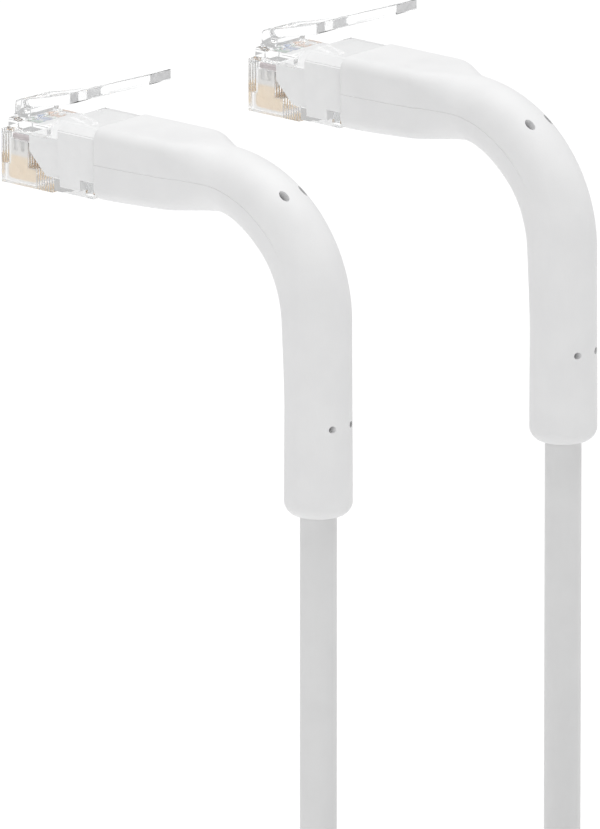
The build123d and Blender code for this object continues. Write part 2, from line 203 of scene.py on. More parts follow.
def noise(tree, scale, detail=3.0, roughness=0.5):
    """Fractal noise of the given scale, in cells per metre."""
    node = add(tree, "ShaderNodeTexNoise", Scale=scale, Detail=detail, Roughness=roughness)
    tree.links.new(object_position(tree), node.inputs["Vector"])
    return node.outputs["Fac"]


def tint(tree, shader, factor, dark, light, low=0.35, high=0.65):
    """Base colour that wanders between two tones; gives back the colour's socket."""
    mix = tree.nodes.new("ShaderNodeMix")
    mix.data_type = "RGBA"
    spread = tree.nodes.new("ShaderNodeMapRange")
    spread.inputs["From Min"].default_value = low
    spread.inputs["From Max"].default_value = high
    tree.links.new(factor, spread.inputs["Value"])
    tree.links.new(spread.outputs["Result"], mix.inputs["Factor"])
    mix.inputs[6].default_value = (*dark, 1)
    mix.inputs[7].default_value = (*light, 1)
    tree.links.new(mix.outputs[2], shader.inputs["Base Color"])
    return mix.outputs[2]


def vary(tree, shader, socket, factor, low, high):
    """A socket of the shader that follows a pattern between two values."""
    spread = tree.nodes.new("ShaderNodeMapRange")
    spread.inputs["To Min"].default_value = low
    spread.inputs["To Max"].default_value = high
    tree.links.new(factor, spread.inputs["Value"])
    tree.links.new(spread.outputs["Result"], shader.inputs[socket])


def bump(tree, shader, height, strength, distance):
    """Fine relief on the surface; distance is its depth in metres."""
    node = add(tree, "ShaderNodeBump", Strength=strength, Distance=distance)
    tree.links.new(height, node.inputs["Height"])
    tree.links.new(node.outputs["Normal"], shader.inputs["Normal"])


def boot_material():
    """Soft white elastomer: fine matt grain from the mould, faint mottling."""
    material, tree, shader = new_material("boot_elastomer")
    tint(tree, shader, noise(tree, 180.0, 4.0), (0.775, 0.775, 0.778), (0.80, 0.80, 0.802))
    vary(tree, shader, "Roughness", noise(tree, 900.0), 0.46, 0.60)
    bump(tree, shader, noise(tree, 5200.0, 2.0), 0.25, 0.00004)
    shader.inputs["Specular IOR Level"].default_value = 0.4
    return material


def jacket_material():
    """Extruded PVC: a little greyer and smoother than the boot, with faint drawing lines."""
    material, tree, shader = new_material("cable_jacket")
    tint(tree, shader, noise(tree, 240.0, 3.0), (0.69, 0.69, 0.69), (0.71, 0.71, 0.71))
    vary(tree, shader, "Roughness", noise(tree, 1500.0), 0.36, 0.48)
    bump(tree, shader, noise(tree, 3800.0, 2.0), 0.12, 0.00003)
    return material


CLEAR_IOR = 1.56


def clear_material(name, low_roughness, high_roughness, clarity=1.0):
    """Clear polycarbonate with the faintest flow lines, polished or satin as its mould is."""
    material, tree, shader = new_material(name)
    shader.inputs["Base Color"].default_value = (0.985, 0.99, 0.992, 1)
    shader.inputs["Transmission Weight"].default_value = clarity
    shader.inputs["IOR"].default_value = CLEAR_IOR
    vary(tree, shader, "Roughness", noise(tree, 700.0), low_roughness, high_roughness)
    bump(tree, shader, noise(tree, 420.0, 1.0), 0.06, 0.00006)
    let_light_in(tree, shader)
    return material


def let_light_in(tree, shader):
    """Lets lamps and scattered light reach what the clear plastic shuts in."""
    path = tree.nodes.new("ShaderNodeLightPath")
    either = tree.nodes.new("ShaderNodeMath")
    either.operation = "MAXIMUM"
    tree.links.new(path.outputs["Is Shadow Ray"], either.inputs[0])
    tree.links.new(path.outputs["Is Diffuse Ray"], either.inputs[1])
    through = tree.nodes.new("ShaderNodeBsdfTransparent")
    mix = tree.nodes.new("ShaderNodeMixShader")
    tree.links.new(either.outputs[0], mix.inputs[0])
    tree.links.new(shader.outputs[0], mix.inputs[1])
    tree.links.new(through.outputs[0], mix.inputs[2])
    tree.links.new(mix.outputs[0], tree.nodes["Material Output"].inputs["Surface"])


def frosted_material():
    """The same plastic where the mould is spark-eroded: a fine satin face."""
    material, tree, shader = new_material("frosted_polycarbonate")
    tint(tree, shader, noise(tree, 1500.0, 2.0), (0.62, 0.62, 0.625), (0.72, 0.72, 0.725))
    vary(tree, shader, "Roughness", noise(tree, 4000.0), 0.45, 0.6)
    bump(tree, shader, noise(tree, 9000.0, 2.0), 0.3, 0.00002)
    return material


def white_mould_material():
    """White polyethylene moulding."""
    material, tree, shader = new_material("white_mould")
    tint(tree, shader, noise(tree, 300.0, 3.0), (0.80, 0.80, 0.802), (0.83, 0.83, 0.83))
    vary(tree, shader, "Roughness", noise(tree, 1200.0), 0.35, 0.5)
    bump(tree, shader, noise(tree, 3000.0, 2.0), 0.1, 0.00003)
    return material


PLATING_HEIGHT = 3.6                # top of the gold, over the plug's underside
PLATING_FADE = 0.3
NICKEL = (0.80, 0.78, 0.75, 1)


def gold_material():
    """Gold plating low on the blades, where a jack's springs touch, and bare nickel above."""
    material, tree, shader = new_material("gold_plating")
    plated = tint(tree, shader, noise(tree, 900.0, 4.0), (0.90, 0.68, 0.41), (0.94, 0.74, 0.47))
    place = tree.nodes.new("ShaderNodeSeparateXYZ")
    tree.links.new(object_position(tree), place.inputs["Vector"])
    edge = tree.nodes.new("ShaderNodeMapRange")
    edge.inputs["From Min"].default_value = (UNDERSIDE + PLATING_HEIGHT) * MM
    edge.inputs["From Max"].default_value = (UNDERSIDE + PLATING_HEIGHT + PLATING_FADE) * MM
    tree.links.new(place.outputs["Z"], edge.inputs["Value"])
    mix = tree.nodes.new("ShaderNodeMix")
    mix.data_type = "RGBA"
    mix.inputs[7].default_value = NICKEL
    tree.links.new(edge.outputs["Result"], mix.inputs["Factor"])
    tree.links.new(plated, mix.inputs[6])
    tree.links.new(mix.outputs[2], shader.inputs["Base Color"])
    shader.inputs["Metallic"].default_value = 0.5
    vary(tree, shader, "Roughness", noise(tree, 2500.0), 0.28, 0.42)
    bump(tree, shader, noise(tree, 6000.0, 2.0), 0.15, 0.00002)
    return material


def steel_material():
    """Annealed wire: dull grey with drawing marks."""
    material, tree, shader = new_material("annealed_wire")
    tint(tree, shader, noise(tree, 1500.0, 4.0), (0.36, 0.36, 0.37), (0.52, 0.52, 0.53))
    shader.inputs["Metallic"].default_value = 1.0
    vary(tree, shader, "Roughness", noise(tree, 3000.0), 0.35, 0.5)
    return material


def insulation_material(name, colour, stripe=None):
    """Glossy wire insulation; the paired white wires carry a stripe of their pair's colour."""
    material, tree, shader = new_material(name)
    vary(tree, shader, "Roughness", noise(tree, 2000.0), 0.25, 0.38)
    darker = tuple(value * 0.9 for value in colour)
    if stripe is None:
        tint(tree, shader, noise(tree, 800.0), darker, colour)
        return material
    wave = add(tree, "ShaderNodeTexWave", Scale=260.0, Distortion=0.6)
    wave.bands_direction = "X"
    tree.links.new(object_position(tree), wave.inputs["Vector"])
    tint(tree, shader, wave.outputs["Fac"], stripe, colour, 0.18, 0.26)
    return material


def tie_material():
    """Black hook-and-loop strap with a woven, slightly furry face."""
    material, tree, shader = new_material("hook_and_loop")
    weave = add(tree, "ShaderNodeTexVoronoi", Scale=2600.0, Randomness=0.35)
    tree.links.new(object_position(tree), weave.inputs["Vector"])
    tint(tree, shader, weave.outputs["Distance"], (0.012, 0.012, 0.013), (0.05, 0.05, 0.053), 0.1, 0.6)
    vary(tree, shader, "Roughness", noise(tree, 1500.0), 0.8, 0.95)
    bump(tree, shader, weave.outputs["Distance"], 0.8, 0.0002)
    shader.inputs["Sheen Weight"].default_value = 0.4
    return material


BOOT = boot_material()
JACKET = jacket_material()
CLEAR = clear_material("clear_polycarbonate", 0.0, 0.03)
SATIN = clear_material("satin_polycarbonate", 0.35, 0.5, 0.7)
FROSTED = frosted_material()
WHITE = white_mould_material()
GOLD = gold_material()
STEEL = steel_material()
TIE = tie_material()

ORANGE = (0.78, 0.60, 0.50)
GREEN = (0.52, 0.62, 0.55)
BLUE = (0.50, 0.55, 0.68)
BROWN = (0.52, 0.46, 0.47)
PALE = (0.80, 0.80, 0.80)
# conductor colours from pin 1 to pin 8, the common B order
PIN_COLOURS = [
    ("white_orange", PALE, ORANGE), ("orange", ORANGE, None),
    ("white_green", PALE, GREEN), ("blue", BLUE, None),
    ("white_blue", PALE, BLUE), ("green", GREEN, None),
    ("white_brown", PALE, BROWN), ("brown", BROWN, None),
]
INSULATION = [insulation_material("wire_" + name, tone, stripe) for name, tone, stripe in PIN_COLOURS]

free_cable.data.materials.append(JACKET)


def paint(node, material):
    """Gives a carried-over CAD node its material."""
    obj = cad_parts[node]
    obj.data.materials.clear()
    obj.data.materials.append(material)
    return obj


# ---------------------------------------------------------------- mesh helpers

def make_object(name, vertices, faces, material, smooth=True):
    """A mesh object from points in millimetres."""
    data = bpy.data.meshes.new(name)
    data.from_pydata([metres(v) for v in vertices], [], faces)
    data.validate()
    mesh = bmesh.new()
    mesh.from_mesh(data)
    bmesh.ops.recalc_face_normals(mesh, faces=mesh.faces)
    mesh.to_mesh(data)
    mesh.free()
    data.materials.append(material)
    obj = bpy.data.objects.new(name, data)
    bpy.context.scene.collection.objects.link(obj)
    if smooth:
        data.shade_smooth()
        data.set_sharp_from_angle(angle=math.radians(38))
    return obj


def closed_loft(rings):
    """Faces that join a closed cycle of equal rings, each ring's points given in order."""
    count = len(rings[0])
    vertices = [point for ring in rings for point in ring]
    faces = []
    for index in range(len(rings)):
        here = index * count
        after = ((index + 1) % len(rings)) * count
        for k in range(count):
            k_next = (k + 1) % count
            faces.append((here + k, here + k_next, after + k_next, after + k))
    return vertices, faces


def capped_loft(rings):
    """Faces that join rings in a row, closed by a fan at each end."""
    count = len(rings[0])
    vertices = [point for ring in rings for point in ring]
    faces = []
    for index in range(len(rings) - 1):
        here = index * count
        after = here + count
        for k in range(count):
            k_next = (k + 1) % count
            faces.append((here + k, here + k_next, after + k_next, after + k))
    faces.append(tuple(range(count)))
    last = (len(rings) - 1) * count
    faces.append(tuple(last + k for k in range(count)))
    return vertices, faces


# ---------------------------------------------------------------- the boot's line

FRONT_LENGTH = BEND_START
ARC_LENGTH = math.radians(90) * BEND_RADIUS


def line_frame(distance):
    """Point on the boot's line, its direction and its outward normal, as (x, z) pairs.

    distance runs from the nose: straight, then 90 degrees down, then straight down."""
    if distance <= FRONT_LENGTH:
        return (distance, BOOT_AXIS), (1.0, 0.0), (0.0, 1.0)
    turned = distance - FRONT_LENGTH
    if turned <= ARC_LENGTH:
        angle = turned / BEND_RADIUS
        point = (
            BEND_START + BEND_RADIUS * math.sin(angle),
            BEND_CENTRE + BEND_RADIUS * math.cos(angle),
        )
        return point, (math.cos(angle), -math.sin(angle)), (math.sin(angle), math.cos(angle))
    return (CABLE_X, BEND_CENTRE - (turned - ARC_LENGTH)), (0.0, -1.0), (1.0, 0.0)


def at_angle(angle):
    """Distance along the boot's line at an angle of its bend."""
    return FRONT_LENGTH + math.radians(angle) * BEND_RADIUS


def at_depth(z):
    """Distance along the boot's line at a height of its hanging stretch."""
    return FRONT_LENGTH + ARC_LENGTH + (BEND_CENTRE - z)


def ring_at(distance, section, y=0.0, shift=0.0):
    """Points round the line: section gives (sideways, outwards) pairs."""
    (x, z), _, (nx, nz) = line_frame(distance)
    return [
        (x + nx * (out + shift), y + side, z + nz * (out + shift))
        for side, out in section
    ]


def bend_with_boot(obj):
    """Bakes a piece's placement into its mesh."""
    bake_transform(obj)


def part_limits(part, start, stop):
    """Distances along the line where a third begins and ends, the end thirds taking the straights."""
    first = start if part == 0 else at_angle(part * BEND_STEP)
    last = stop if part == BEND_STEPS - 1 else at_angle((part + 1) * BEND_STEP)
    return first, last


# ---------------------------------------------------------------- boot skin

ROUND_RADIUS = 4.62
REAR_RADIUS = 4.72
SKIRT_HALF_WIDTH = 6.1
SKIRT_LOW = UNDERSIDE + 0.4
SKIRT_HIGH = UNDERSIDE + 10.5
SKIRT_CORNER = 1.9
SQUARE_END = 30.3
ROUND_START = 37.0
PARTING_DEPTH = 0.07
LOW_RISE = 0.6                      # the skirt's underside slopes up towards the neck
LOW_DROP = 0.25
WAIST = 0.12                        # thinner under the neck, just before the bend
BELLY = 0.75                        # extra wall on the inside of the bend
RING_POINTS = 144


def ring_angles():
    """Angles round a section, closer together beside the two parting lines."""
    even = [2 * math.pi * k / RING_POINTS for k in range(RING_POINTS)]
    extra = [side + offset for side in (0, math.pi) for offset in (-0.012, 0.012, -0.024, 0.024)]
    return sorted(angle % (2 * math.pi) for angle in even + extra)


ANGLES = ring_angles()


def rounded_reach(angle, half_width, half_height, corner):
    """Distance from the centre to a rounded rectangle's edge in one direction."""
    c, s = abs(math.cos(angle)), abs(math.sin(angle))
    corner = min(corner, half_width, half_height)
    inner_w, inner_h = half_width - corner, half_height - corner
    if c > 1e-9 and half_width * s / c <= inner_h:
        return half_width / c
    if s > 1e-9 and half_height * c / s <= inner_w:
        return half_height / s
    along = c * inner_w + s * inner_h
    return along + math.sqrt(max(along ** 2 - (inner_w ** 2 + inner_h ** 2 - corner ** 2), 0.0))


def skin_section(distance):
    """Outline of the boot across its line, as (sideways, outwards) pairs."""
    square_half_height = (SKIRT_HIGH - SKIRT_LOW) / 2
    square_shift = (SKIRT_HIGH + SKIRT_LOW) / 2 - BOOT_AXIS
    side_t = ramp(distance, SQUARE_END - 0.8, ROUND_START + 0.5)
    top_t = ramp(distance, SQUARE_END + 1.2, ROUND_START)
    low_t = ramp(distance, SQUARE_END - 4.0, ROUND_START)
    corner_t = ramp(distance, SQUARE_END - 0.8, ROUND_START)
    swell = ramp(distance, at_angle(90), at_depth(LIP_Z))
    belly_in = ramp(distance, at_angle(0), at_angle(45))
    belly_out = ramp(distance, at_angle(70), at_angle(135))
    belly = BELLY * belly_in * (1 - belly_out)
    radius = ROUND_RADIUS + (REAR_RADIUS - ROUND_RADIUS) * swell
    half_width = SKIRT_HALF_WIDTH + (radius - SKIRT_HALF_WIDTH) * side_t
    top = square_shift + square_half_height + (radius - square_shift - square_half_height) * top_t
    rise = LOW_RISE * ramp(distance, SKIRT_X, SQUARE_END + 3)
    square_low = square_shift - square_half_height + rise - LOW_DROP
    waist_in = ramp(distance, SQUARE_END - 3.0, at_angle(-5))
    waist_out = ramp(distance, at_angle(0), at_angle(28))
    waist = WAIST * (waist_in - waist_out)
    low = square_low + (-radius - square_low) * low_t - belly + waist
    half_height = (top - low) / 2
    shift = (top + low) / 2
    corner = SKIRT_CORNER + (radius - SKIRT_CORNER) * corner_t
    section = []
    for angle in ANGLES:
        reach = rounded_reach(angle, half_width, half_height, corner)
        on_parting = min(abs(angle), abs(angle - math.pi), abs(angle - 2 * math.pi)) < 0.006
        if on_parting:
            reach -= PARTING_DEPTH * (1 - 0.75 * ramp(distance, at_angle(35), at_angle(70)))
        section.append((reach * math.cos(angle), reach * math.sin(angle) + shift))
    return section


def plain_section(half_width, half_height=None, corner=None, shift=0.0):
    """A rounded rectangle or circle with as many points as the skin."""
    half_height = half_height or half_width
    corner = corner if corner is not None else half_width
    section = []
    for angle in ANGLES:
        reach = rounded_reach(angle, half_width, half_height, corner)
        section.append((reach * math.cos(angle), reach * math.sin(angle) + shift))
    return section


def scaled(section, inset):
    """A section pulled in by a distance, for rounded edges."""
    result = []
    for side, out in section:
        length = math.hypot(side, out)
        share = (length - inset) / length
        result.append((side * share, out * share))
    return result


FRONT_EDGE = 0.35
LIP_RADIUS = 2.0
BORE_RADIUS = CABLE_DIAMETER / 2 + 0.3
MOUTH_RADIUS = CABLE_DIAMETER / 2 + 0.12      # the lip's inner edge, eased off the cable
GRIP_RADIUS = CABLE_DIAMETER / 2 + 0.02       # the mouth closes on the cable behind it
MOUTH_START = 0.05                            # from the lip's end to each ring of the mouth
GRIP_START = 0.35
GRIP_END = 6.0
BORE_END = 6.4
POCKET = (5.2, 3.95, 0.5)                     # half width, half height and corner, for the plug's tongue
POCKET_END = 21.5
POCKET_HEIGHT = 5.25
RING_SPACING = 0.45
BORE_SPACING = 0.9
EDGE_STEPS = 4
LIP_STEPS = 8


def spaced(first, last, spacing=RING_SPACING):
    """Even distances from first to last, about one spacing apart."""
    count = max(int(math.ceil((last - first) / spacing)), 1)
    return [first + (last - first) * k / count for k in range(count + 1)]


def skin_rings(part, y):
    """One closed cycle of rings for a third of the boot: outside first, then back along the inside."""
    end = at_depth(LIP_Z)
    first, last = part_limits(part, SKIRT_X, end)
    rings = []
    if part == 0:
        for step in range(EDGE_STEPS + 1):
            angle = math.radians(90) * step / EDGE_STEPS
            section = scaled(skin_section(first), FRONT_EDGE * (1 - math.sin(angle)))
            rings.append(ring_at(first + FRONT_EDGE * (1 - math.cos(angle)), section, y))
        first += FRONT_EDGE
    outer_last = last - LIP_RADIUS if part == BEND_STEPS - 1 else last
    for distance in spaced(first, outer_last)[1 if part == 0 else 0:]:
        rings.append(ring_at(distance, skin_section(distance), y))
    if part == BEND_STEPS - 1:
        for step in range(1, LIP_STEPS + 1):
            angle = math.radians(90) * step / LIP_STEPS
            section = scaled(skin_section(end), LIP_RADIUS * (1 - math.cos(angle)))
            rings.append(ring_at(outer_last + LIP_RADIUS * math.sin(angle), section, y))
        rings.append(ring_at(last - MOUTH_START, plain_section(MOUTH_RADIUS), y))
        rings.append(ring_at(last - GRIP_START, plain_section(GRIP_RADIUS), y))
        rings.append(ring_at(last - GRIP_END, plain_section(GRIP_RADIUS), y))
        last -= BORE_END
    inner_first = POCKET_END if part == 0 else first
    for distance in spaced(inner_first, last, BORE_SPACING)[::-1]:
        rings.append(ring_at(distance, plain_section(BORE_RADIUS), y))
    if part == 0:
        width, height, corner = POCKET
        shift = UNDERSIDE + POCKET_HEIGHT - BOOT_AXIS
        rings.append(ring_at(POCKET_END, plain_section(width, height, corner, shift), y))
        rings.append(ring_at(SKIRT_X, plain_section(width, height, corner, shift), y))
    return rings


PIN_HOLE_RADIUS = 0.5
PIN_HOLE_Y = 1.9
LOWER_HOLES_Z = UNDERSIDE - 26.0
UPPER_HOLES_ANGLE = 36.3
HOLE_DEPTH = 1.5
HOLE_CLEARANCE = 1.5                # the cutter stands this far out of the wall
HOLE_POINTS = 28
HOLE_STRETCH = 1.9                  # bending the boot has drawn the upper holes out


def hole_cutter(distance, y, stretch=1.0):
    """A short pin across the boot's wall, on the outside of the bend; stretch draws it along the boot."""
    (x, z), (tx, tz), (nx, nz) = line_frame(distance)
    wall = math.sqrt(ROUND_RADIUS ** 2 - PIN_HOLE_Y ** 2)
    rings = []
    for height in (wall - HOLE_DEPTH, wall + HOLE_CLEARANCE):
        ring = []
        for k in range(HOLE_POINTS):
            angle = 2 * math.pi * k / HOLE_POINTS
            along = PIN_HOLE_RADIUS * stretch * math.cos(angle)
            ring.append((
                x + nx * height + tx * along,
                y + PIN_HOLE_RADIUS * math.sin(angle),
                z + nz * height + tz * along,
            ))
        rings.append(ring)
    vertices, faces = capped_loft(rings)
    return make_object("cutter", vertices, faces, BOOT)


def apply_modifiers(obj, sharp_angle=38):
    """Makes an object's modifiers part of its mesh."""
    bpy.context.view_layer.update()
    evaluated = obj.evaluated_get(bpy.context.evaluated_depsgraph_get())
    data = bpy.data.meshes.new_from_object(evaluated)
    obj.modifiers.clear()
    old = obj.data
    obj.data = data
    bpy.data.meshes.remove(old)
    data.shade_smooth()
    data.set_sharp_from_angle(angle=math.radians(sharp_angle))


def combine(obj, others, operation="DIFFERENCE"):
    """Cuts other objects out of one, or joins them to it, for good."""
    for other in others:
        modifier = obj.modifiers.new("combine", "BOOLEAN")
        modifier.operation = operation
        modifier.solver = "EXACT"
        modifier.object = other
    apply_modifiers(obj)
    for other in others:
        bpy.data.objects.remove(other)


def soften(obj, width, segments=2, angle=30):
    """Rounds an object's edges for good."""
    modifier = obj.modifiers.new("soften", "BEVEL")
    modifier.width = width * MM
    modifier.segments = segments
    modifier.limit_method = "ANGLE"
    modifier.angle_limit = math.radians(angle)
    modifier.miter_outer = "MITER_ARC"
    modifier.harden_normals = False
    apply_modifiers(obj, 50)


NORMAL_STEP = 0.1


def outline_normals(distance, y):
    """Outward direction at each point of the skin's ring at a distance, by its place."""
    step = NORMAL_STEP
    here = ring_at(distance, skin_section(distance), y)
    before = ring_at(distance - step, skin_section(distance - step), y)
    after = ring_at(distance + step, skin_section(distance + step), y)
    centre, _, _ = line_frame(distance)
    middle = Vector((centre[0], y, centre[1]))
    normals = {}
    for k, point in enumerate(here):
        along = Vector(after[k]) - Vector(before[k])
        around = Vector(here[(k + 1) % len(here)]) - Vector(here[k - 1])
        normal = along.cross(around).normalized()
        if normal.dot(Vector(point) - middle) < 0:
            normal.negate()
        normals[tuple(round(value, 2) for value in point)] = normal
    return normals


def match_seams(obj, part, y):
    """Shades the rims where two thirds of the boot meet as one smooth surface."""
    normals = {}
    directions = []
    for seam in (part, part + 1):
        if 0 < seam < BEND_STEPS:
            distance = at_angle(seam * BEND_STEP)
            normals.update(outline_normals(distance, y))
            _, (tx, tz), _ = line_frame(distance)
            directions.append(Vector((tx, 0, tz)))
    custom = [Vector((0, 0, 0))] * len(obj.data.loops)
    for face in obj.data.polygons:
        if any(abs(face.normal.dot(direction)) > 0.9 for direction in directions):
            continue
        for loop in face.loop_indices:
            point = obj.data.vertices[obj.data.loops[loop].vertex_index].co / MM
            custom[loop] = normals.get(tuple(round(value, 2) for value in point), custom[loop])
    obj.data.normals_split_custom_set(custom)


# the CAD nodes that each third of the skin stands for, and its name
BOOT_NODES = {0: ["front", "bend_3"], 1: ["bend_2"], 2: ["bend_1", "rear"]}
THIRD_NAMES = ("front", "elbow", "rear")


def make_boot(end):
    """The boot's skin in three thirds that meet edge to edge."""
    y = ENDS[end]
    for part in range(BEND_STEPS):
        vertices, faces = closed_loft(skin_rings(part, y))
        skin = make_object(f"boot_{end}_{THIRD_NAMES[part]}_skin", vertices, faces, BOOT)
        cutters = []
        if part == 1:
            place = at_angle(UPPER_HOLES_ANGLE)
            cutters = [hole_cutter(place, y + side * PIN_HOLE_Y, HOLE_STRETCH) for side in (-1, 1)]
        if part == 2:
            cutters = [hole_cutter(at_depth(LOWER_HOLES_Z), y + side * PIN_HOLE_Y) for side in (-1, 1)]
        if cutters:
            combine(skin, cutters)
        match_seams(skin, part, y)
        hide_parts(*[f"boot_{end}_{node}" for node in BOOT_NODES[part]])
        bend_with_boot(skin)


# ---------------------------------------------------------------- inside the boot

JACKET_START = 16.9
JACKET_BORE_RADIUS = 2.15
PAIR_RADIUS = 0.8
PAIR_OFFSET = 0.85
SHAPE_WIRE_RADIUS = 0.45
SHAPE_WIRE_RISE = 3.1
SHAPE_WIRE_START = 25.0
SHAPE_WIRE_END_Z = UNDERSIDE - 35.0
BAR_SPACING = 0.8
JACKET_POINTS = 32
PAIR_POINTS = 20
SHAPE_WIRE_POINTS = 14
BLUE_PIN = 3                        # the pairs inside the jacket are all drawn in this pin's colour


def circle(radius, count, side=0.0):
    """Points of a circle moved sideways, as (sideways, outwards) pairs."""
    return [
        (side + radius * math.cos(2 * math.pi * k / count), radius * math.sin(2 * math.pi * k / count))
        for k in range(count)
    ]


def bar_rings(first, last, radius, y, count, side=0.0, shift=0.0):
    """Rings of a round bar that follows the boot's line beside it and above it."""
    section = circle(radius, count, side)
    return [ring_at(distance, section, y, shift) for distance in spaced(first, last, BAR_SPACING)]


def bars(name, limits, radius, y, count, places, material):
    """One object of several round bars along the boot's line, at (side, shift) places."""
    vertices, faces = [], []
    for side, shift in places:
        more, joined = capped_loft(bar_rings(*limits, radius, y, count, side, shift))
        offset = len(vertices)
        vertices += more
        faces += [tuple(index + offset for index in face) for face in joined]
    return make_object(name, vertices, faces, material)


PAIR_PLACES = [
    (side, shift) for side in (-PAIR_OFFSET, PAIR_OFFSET) for shift in (-PAIR_OFFSET, PAIR_OFFSET)
]
SHAPE_WIRE_PLACES = [(side, SHAPE_WIRE_RISE) for side in (-PIN_HOLE_Y, PIN_HOLE_Y)]


def make_inner_pieces(end):
    """Jacket, wire pairs and shape-holding wires inside the boot, in thirds as the skin is."""
    y = ENDS[end]
    jacket_end = at_depth(FREE_START_Z)
    for part in range(BEND_STEPS):
        limits = part_limits(part, JACKET_START, jacket_end)
        wire_limits = part_limits(part, SHAPE_WIRE_START, at_depth(SHAPE_WIRE_END_Z))
        outer = bar_rings(*limits, CABLE_DIAMETER / 2, y, JACKET_POINTS)
        inner = bar_rings(*limits, JACKET_BORE_RADIUS, y, JACKET_POINTS)
        vertices, faces = closed_loft(outer + inner[::-1])
        jacket = make_object(f"boot_{end}_jacket_{part + 1}", vertices, faces, JACKET)
        pairs = bars(f"boot_{end}_pairs_{part + 1}", limits, PAIR_RADIUS, y, PAIR_POINTS,
                     PAIR_PLACES, INSULATION[BLUE_PIN])
        wires = bars(f"boot_{end}_wires_{part + 1}", wire_limits, SHAPE_WIRE_RADIUS, y,
                     SHAPE_WIRE_POINTS, SHAPE_WIRE_PLACES, STEEL)
        if part == 0:
            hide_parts(f"boot_{end}_cable")
            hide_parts(f"boot_{end}_wire_pairs")
            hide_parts(f"boot_{end}_shape_wires")
        for piece in (jacket, pairs, wires):
            bend_with_boot(piece)


# ---------------------------------------------------------------- plug

PIN_PITCH = 1.016
PIN_COUNT = 8


def paint_conductors(end):
    """Colours each conductor by the pin that it starts from."""
    obj = paint(f"plug_{end}_conductors", INSULATION[0])
    for material in INSULATION[1:]:
        obj.data.materials.append(material)
    mesh = bmesh.new()
    mesh.from_mesh(obj.data)
    mesh.faces.ensure_lookup_table()
    seen = set()
    choice = {}
    for seed in mesh.faces:
        if seed.index in seen:
            continue
        island, stack = [], [seed]
        seen.add(seed.index)
        while stack:
            face = stack.pop()
            island.append(face)
            for edge in face.edges:
                for other in edge.link_faces:
                    if other.index not in seen:
                        seen.add(other.index)
                        stack.append(other)
        tip = min((vertex.co for face in island for vertex in face.verts), key=lambda co: co.x)
        pin = round((PIN_COUNT - 1) / 2 - (tip.y / MM - ENDS[end]) / PIN_PITCH)
        for face in island:
            choice[face.index] = min(max(pin, 0), PIN_COUNT - 1)
    mesh.free()
    for index, pin in choice.items():
        obj.data.polygons[index].material_index = pin


KNUCKLE = (1.7, UNDERSIDE + 9.75)
KNUCKLE_RADIUS = 1.33
LATCH_WIDTH = 6.1
SHOULDER_X = 10.37
SHOULDER_TOP = UNDERSIDE + 13.66
TIP_X = 24.3
TIP_TOP = UNDERSIDE + 18.56
LEVER_THICKNESS = 1.43
LEVER_START = 9.4
LEVER_HALF_WIDTHS = (1.25, 2.2)     # at the shoulders and at the tip
LEVER_START_SLOPE = 0.29            # of the plate, where the lever grows out of it
SEAT_TOP = UNDERSIDE + 9.11         # top of the housing's saddle, under the root block
NOSE_CURVE = (0.85, UNDERSIDE + 10.45)
NOSE_CURVE_RADIUS = 0.7
HOLLOW_CURVE = (3.63, UNDERSIDE + 9.95)
HOLLOW_CURVE_RADIUS = 0.6
RECESS_HALF_WIDTH = 1.75
LATCH_EDGE = 0.12


def arc(centre, radius, first, last, steps=8):
    """Points on an arc in a side view, angles in degrees counted from +X towards +Z."""
    points = []
    for step in range(steps + 1):
        angle = math.radians(first + (last - first) * step / steps)
        points.append((centre[0] + radius * math.cos(angle), centre[1] + radius * math.sin(angle)))
    return points


def side_slab(name, outline, y, half_widths, material):
    """A side view (x, z) given a width along Y; half_widths is a number or a function of x."""
    half = half_widths if callable(half_widths) else lambda x: half_widths
    count = len(outline)
    vertices = [(x, y - half(x), z) for x, z in outline] + [(x, y + half(x), z) for x, z in outline]
    faces = [tuple(range(count)), tuple(range(2 * count - 1, count - 1, -1))]
    for k in range(count):
        after = (k + 1) % count
        faces.append((k, after, count + after, count + k))
    return make_object(name, vertices, faces, material, smooth=False)


def lever_half_width(x):
    """The thumb lever widens from the shoulders to its tip."""
    share = (x - SHOULDER_X) / (TIP_X - SHOULDER_X)
    return LEVER_HALF_WIDTHS[0] + (LEVER_HALF_WIDTHS[1] - LEVER_HALF_WIDTHS[0]) * share


def latch_outline():
    """Side view of the root block and the plate that rises from it to the shoulders."""
    meet = math.degrees(math.asin((SEAT_TOP - KNUCKLE[1]) / KNUCKLE_RADIUS))
    front = arc(NOSE_CURVE, NOSE_CURVE_RADIUS, 180, 106, 6)
    underside = arc(KNUCKLE, KNUCKLE_RADIUS, 0, -180 - meet, 18)
    return [
        (0.15, SEAT_TOP), *front,
        (4.74, UNDERSIDE + 12.1), (SHOULDER_X, SHOULDER_TOP),
        (SHOULDER_X, UNDERSIDE + 12.05), (6.6, UNDERSIDE + 11.2),
        *arc(HOLLOW_CURVE, HOLLOW_CURVE_RADIUS, 100, 180, 6),
        *underside,
    ]


